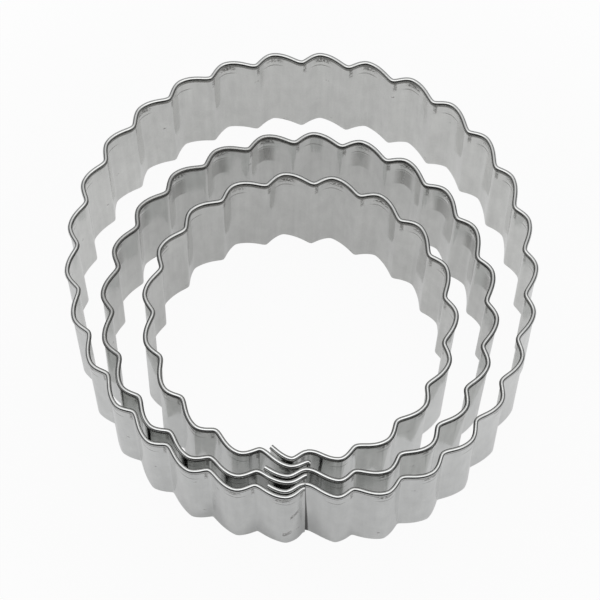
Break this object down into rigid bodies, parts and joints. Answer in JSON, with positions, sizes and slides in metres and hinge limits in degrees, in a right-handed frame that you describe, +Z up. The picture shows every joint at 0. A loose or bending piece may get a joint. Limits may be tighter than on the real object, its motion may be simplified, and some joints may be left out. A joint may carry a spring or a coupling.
{
  "type": "biscuit cutter set",
  "caption": "Nested set of round fluted pastry cutters, each one strip of thin tinplate with a rolled top rim and a plain cutting edge, lapped and spot welded.",
  "frame": {"origin": "middle of the large cutter's footprint, on the table that all the cutting edges stand on", "axes": "+Z up, from the cutting edges to the rolled rims; -Y towards the welded laps, where the cutters stand closest together"},
  "size_m": [0.0788, 0.0805, 0.0255],
  "materials": {
    "tinplate": "bright tinplate, satin with a fine rolled grain",
    "weld": "dull fused steel"
  },
  "bodies": {
    "large_cutter": {"large_strip": "tinplate", "large_upper_weld": "weld", "large_lower_weld": "weld"},
    "medium_cutter": {"medium_strip": "tinplate", "medium_upper_weld": "weld", "medium_lower_weld": "weld"},
    "small_cutter": {"small_strip": "tinplate", "small_upper_weld": "weld", "small_lower_weld": "weld"}
  },
  "joints": [
    {"name": "medium_lift", "type": "slide", "parent": "large_cutter", "child": "medium_cutter", "axis": [0, 0, 1], "range_m": [0, 0.032]},
    {"name": "small_lift", "type": "slide", "parent": "large_cutter", "child": "small_cutter", "axis": [0, 0, 1], "range_m": [0, 0.064]}
  ]
}
